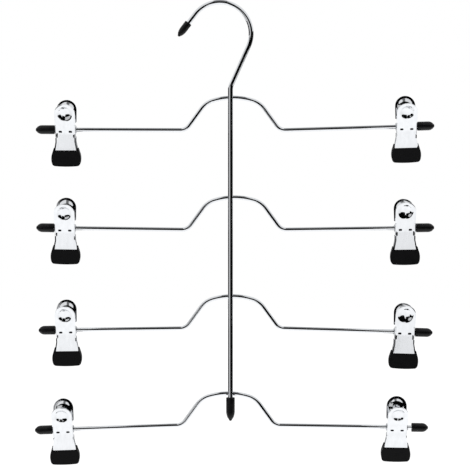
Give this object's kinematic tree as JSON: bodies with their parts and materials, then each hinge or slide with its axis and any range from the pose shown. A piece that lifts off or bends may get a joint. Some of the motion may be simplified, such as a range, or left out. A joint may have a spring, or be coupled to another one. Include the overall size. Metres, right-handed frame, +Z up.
{
  "type": "multi tier trouser hanger",
  "caption": "Chromed wire hanger with a swan neck hook, a straight spine and tiers of arched arms, each with sliding sprung clips with black soft jaws.",
  "frame": {"origin": "the seat of the hook: the inside top of its bend, where it rests on a rail, at the middle of the wire", "axes": "+X to the right along the arms seen from the front, +Y to the back, +Z up along the spine"},
  "size_m": [0.322, 0.0295, 0.3751],
  "materials": {
    "chromed_wire": "bright chrome plate on drawn steel wire",
    "clip_sheet": "bright plated sheet steel, pressed",
    "rivet_steel": "plated hollow rivet",
    "spring_steel": "plated spring wire",
    "cap_vinyl": "semi-gloss black soft vinyl cap",
    "boot_vinyl": "satin black dipped soft vinyl"
  },
  "bodies": {
    "frame": {"spine_hook": "chromed_wire", "hook_cap": "cap_vinyl", "spine_foot_cap": "cap_vinyl", "tier1_arm": "chromed_wire", "tier1_end_caps": "cap_vinyl", "tier2_arm": "chromed_wire", "tier2_end_caps": "cap_vinyl", "tier3_arm": "chromed_wire", "tier3_end_caps": "cap_vinyl", "tier4_arm": "chromed_wire", "tier4_end_caps": "cap_vinyl"},
    "tier1_left_rivet": {"tier1_left_rivet": "rivet_steel"},
    "tier1_left_back": {"tier1_left_back_leaf": "clip_sheet", "tier1_left_back_boot": "boot_vinyl", "tier1_left_spring": "spring_steel"},
    "tier1_left_front": {"tier1_left_front_leaf": "clip_sheet", "tier1_left_front_boot": "boot_vinyl"},
    "tier1_right_rivet": {"tier1_right_rivet": "rivet_steel"},
    "tier1_right_back": {"tier1_right_back_leaf": "clip_sheet", "tier1_right_back_boot": "boot_vinyl", "tier1_right_spring": "spring_steel"},
    "tier1_right_front": {"tier1_right_front_leaf": "clip_sheet", "tier1_right_front_boot": "boot_vinyl"},
    "tier2_left_rivet": {"tier2_left_rivet": "rivet_steel"},
    "tier2_left_back": {"tier2_left_back_leaf": "clip_sheet", "tier2_left_back_boot": "boot_vinyl", "tier2_left_spring": "spring_steel"},
    "tier2_left_front": {"tier2_left_front_leaf": "clip_sheet", "tier2_left_front_boot": "boot_vinyl"},
    "tier2_right_rivet": {"tier2_right_rivet": "rivet_steel"},
    "tier2_right_back": {"tier2_right_back_leaf": "clip_sheet", "tier2_right_back_boot": "boot_vinyl", "tier2_right_spring": "spring_steel"},
    "tier2_right_front": {"tier2_right_front_leaf": "clip_sheet", "tier2_right_front_boot": "boot_vinyl"},
    "tier3_left_rivet": {"tier3_left_rivet": "rivet_steel"},
    "tier3_left_back": {"tier3_left_back_leaf": "clip_sheet", "tier3_left_back_boot": "boot_vinyl", "tier3_left_spring": "spring_steel"},
    "tier3_left_front": {"tier3_left_front_leaf": "clip_sheet", "tier3_left_front_boot": "boot_vinyl"},
    "tier3_right_rivet": {"tier3_right_rivet": "rivet_steel"},
    "tier3_right_back": {"tier3_right_back_leaf": "clip_sheet", "tier3_right_back_boot": "boot_vinyl", "tier3_right_spring": "spring_steel"},
    "tier3_right_front": {"tier3_right_front_leaf": "clip_sheet", "tier3_right_front_boot": "boot_vinyl"},
    "tier4_left_rivet": {"tier4_left_rivet": "rivet_steel"},
    "tier4_left_back": {"tier4_left_back_leaf": "clip_sheet", "tier4_left_back_boot": "boot_vinyl", "tier4_left_spring": "spring_steel"},
    "tier4_left_front": {"tier4_left_front_leaf": "clip_sheet", "tier4_left_front_boot": "boot_vinyl"},
    "tier4_right_rivet": {"tier4_right_rivet": "rivet_steel"},
    "tier4_right_back": {"tier4_right_back_leaf": "clip_sheet", "tier4_right_back_boot": "boot_vinyl", "tier4_right_spring": "spring_steel"},
    "tier4_right_front": {"tier4_right_front_leaf": "clip_sheet", "tier4_right_front_boot": "boot_vinyl"}
  },
  "joints": [
    {"name": "tier1_left_slide", "type": "slide", "parent": "frame", "child": "tier1_left_rivet", "axis": [1, 0, -0.0035], "range_m": [0, 0.07953]},
    {"name": "tier1_left_swing", "type": "hinge", "parent": "tier1_left_rivet", "child": "tier1_left_back", "pos_m": [-0.12371, 0.0036, -0.09964], "axis": [1, 0, -0.0035], "continuous": true},
    {"name": "tier1_left_jaw", "type": "hinge", "parent": "tier1_left_back", "child": "tier1_left_front", "pos_m": [-0.12371, 0.0036, -0.09964], "axis": [-1, 0, 0.0035], "range_deg": [0, 48], "stiffness_Nm_per_rad": 0.17, "springref_deg": -68.75, "deforming": ["tier1_left_spring"]},
    {"name": "tier1_right_slide", "type": "slide", "parent": "frame", "child": "tier1_right_rivet", "axis": [-0.9996, 0, -0.0297], "range_m": [0, 0.08436]},
    {"name": "tier1_right_swing", "type": "hinge", "parent": "tier1_right_rivet", "child": "tier1_right_back", "pos_m": [0.14952, 0.0036, -0.09709], "axis": [0.9996, 0, 0.0297], "continuous": true},
    {"name": "tier1_right_jaw", "type": "hinge", "parent": "tier1_right_back", "child": "tier1_right_front", "pos_m": [0.14952, 0.0036, -0.09709], "axis": [-0.9996, 0, -0.0297], "range_deg": [0, 48], "stiffness_Nm_per_rad": 0.17, "springref_deg": -68.75, "deforming": ["tier1_right_spring"]},
    {"name": "tier2_left_slide", "type": "slide", "parent": "frame", "child": "tier2_left_rivet", "axis": [0.9999, 0, -0.014], "range_m": [0, 0.08136]},
    {"name": "tier2_left_swing", "type": "hinge", "parent": "tier2_left_rivet", "child": "tier2_left_back", "pos_m": [-0.12444, 0.0036, -0.17861], "axis": [0.9999, 0, -0.014], "continuous": true},
    {"name": "tier2_left_jaw", "type": "hinge", "parent": "tier2_left_back", "child": "tier2_left_front", "pos_m": [-0.12444, 0.0036, -0.17861], "axis": [-0.9999, 0, 0.014], "range_deg": [0, 48], "stiffness_Nm_per_rad": 0.17, "springref_deg": -68.75, "deforming": ["tier2_left_spring"]},
    {"name": "tier2_right_slide", "type": "slide", "parent": "frame", "child": "tier2_right_rivet", "axis": [-0.9999, 0, -0.014], "range_m": [0, 0.08254]},
    {"name": "tier2_right_swing", "type": "hinge", "parent": "tier2_right_rivet", "child": "tier2_right_back", "pos_m": [0.14876, 0.0036, -0.17859], "axis": [0.9999, 0, 0.014], "continuous": true},
    {"name": "tier2_right_jaw", "type": "hinge", "parent": "tier2_right_back", "child": "tier2_right_front", "pos_m": [0.14876, 0.0036, -0.17859], "axis": [-0.9999, 0, -0.014], "range_deg": [0, 48], "stiffness_Nm_per_rad": 0.17, "springref_deg": -68.75, "deforming": ["tier2_right_spring"]},
    {"name": "tier3_left_slide", "type": "slide", "parent": "frame", "child": "tier3_left_rivet", "axis": [0.9999, 0, 0.014], "range_m": [0, 0.07946]},
    {"name": "tier3_left_swing", "type": "hinge", "parent": "tier3_left_rivet", "child": "tier3_left_back", "pos_m": [-0.12402, 0.0036, -0.26084], "axis": [0.9999, 0, 0.014], "continuous": true},
    {"name": "tier3_left_jaw", "type": "hinge", "parent": "tier3_left_back", "child": "tier3_left_front", "pos_m": [-0.12402, 0.0036, -0.26084], "axis": [-0.9999, 0, -0.014], "range_deg": [0, 48], "stiffness_Nm_per_rad": 0.17, "springref_deg": -68.75, "deforming": ["tier3_left_spring"]},
    {"name": "tier3_right_slide", "type": "slide", "parent": "frame", "child": "tier3_right_rivet", "axis": [-0.9996, 0, 0.0297], "range_m": [0, 0.08444]},
    {"name": "tier3_right_swing", "type": "hinge", "parent": "tier3_right_rivet", "child": "tier3_right_back", "pos_m": [0.14855, 0.0036, -0.26242], "axis": [0.9996, 0, -0.0297], "continuous": true},
    {"name": "tier3_right_jaw", "type": "hinge", "parent": "tier3_right_back", "child": "tier3_right_front", "pos_m": [0.14855, 0.0036, -0.26242], "axis": [-0.9996, 0, 0.0297], "range_deg": [0, 48], "stiffness_Nm_per_rad": 0.17, "springref_deg": -68.75, "deforming": ["tier3_right_spring"]},
    {"name": "tier4_left_slide", "type": "slide", "parent": "frame", "child": "tier4_left_rivet", "axis": [0.9994, 0, 0.0349], "range_m": [0, 0.07927]},
    {"name": "tier4_left_swing", "type": "hinge", "parent": "tier4_left_rivet", "child": "tier4_left_back", "pos_m": [-0.12663, 0.0036, -0.34135], "axis": [0.9994, 0, 0.0349], "continuous": true},
    {"name": "tier4_left_jaw", "type": "hinge", "parent": "tier4_left_back", "child": "tier4_left_front", "pos_m": [-0.12663, 0.0036, -0.34135], "axis": [-0.9994, 0, -0.0349], "range_deg": [0, 48], "stiffness_Nm_per_rad": 0.17, "springref_deg": -68.75, "deforming": ["tier4_left_spring"]},
    {"name": "tier4_right_slide", "type": "slide", "parent": "frame", "child": "tier4_right_rivet", "axis": [-0.9999, 0, 0.0157], "range_m": [-0.003, 0.0816]},
    {"name": "tier4_right_swing", "type": "hinge", "parent": "tier4_right_rivet", "child": "tier4_right_back", "pos_m": [0.14283, 0.0036, -0.33964], "axis": [0.9999, 0, -0.0157], "continuous": true},
    {"name": "tier4_right_jaw", "type": "hinge", "parent": "tier4_right_back", "child": "tier4_right_front", "pos_m": [0.14283, 0.0036, -0.33964], "axis": [-0.9999, 0, 0.0157], "range_deg": [0, 48], "stiffness_Nm_per_rad": 0.17, "springref_deg": -68.75, "deforming": ["tier4_right_spring"]}
  ]
}
